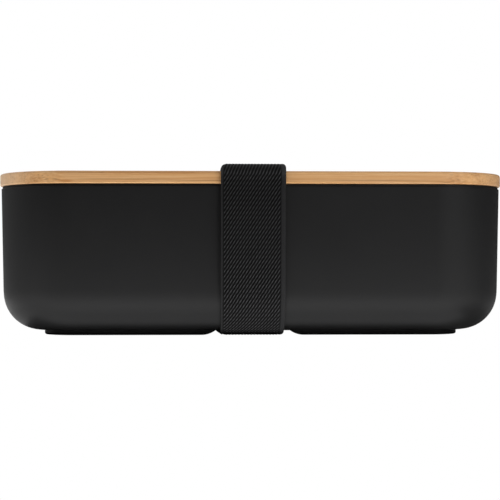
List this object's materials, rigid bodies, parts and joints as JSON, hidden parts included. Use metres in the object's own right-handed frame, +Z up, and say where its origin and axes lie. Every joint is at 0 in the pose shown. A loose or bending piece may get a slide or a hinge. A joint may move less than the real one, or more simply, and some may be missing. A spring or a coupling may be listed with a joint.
{
  "type": "bento lunch box",
  "caption": "Rounded lunch box: tapered black tub on foot rails, bamboo lid with a plug and silicone seal, lift-out divider, and an elastic strap round the middle.",
  "frame": {"origin": "on the table under the middle of the box: the middle of the bounding box's underside", "axes": "+X along the box's long side, -Y towards the front, +Z up"},
  "size_m": [0.195, 0.1301, 0.0634],
  "materials": {
    "shell": "fine matte moulding texture",
    "foot_rubber": "smooth soft rubber",
    "bamboo": "oiled edge-glued bamboo, fine straight grain",
    "seal_silicone": "translucent milky silicone",
    "strap_elastic": "twill-woven elastic webbing with plain selvedges",
    "strap_thread": "polyester sewing thread"
  },
  "bodies": {
    "container": {"container_body": "shell", "foot_rail_left": "foot_rubber", "foot_rail_right": "foot_rubber"},
    "lid": {"lid_strip_1": "bamboo", "lid_strip_2": "bamboo", "lid_strip_3": "bamboo", "lid_strip_4": "bamboo", "lid_strip_5": "bamboo", "lid_strip_6": "bamboo", "lid_strip_7": "bamboo", "lid_seal": "seal_silicone"},
    "divider": {"divider": "shell"},
    "strap": {"strap_band": "strap_elastic", "strap_stitch_row_1": "strap_thread", "strap_stitch_row_2": "strap_thread"}
  },
  "joints": [
    {"name": "lid_lift", "type": "slide", "parent": "container", "child": "lid", "axis": [0, 0, 1], "range_m": [0, 0.1]},
    {"name": "divider_lift", "type": "slide", "parent": "container", "child": "divider", "axis": [0, 0, 1], "range_m": [0, 0.06]},
    {"name": "strap_slide", "type": "slide", "parent": "container", "child": "strap", "axis": [1, 0, 0], "range_m": [-0.125, 0.125], "deforming": ["strap_band"]}
  ],
  "couplings": [
    {"joint": "divider_lift", "follows": "lid_lift", "ratio": 0.6}
  ]
}
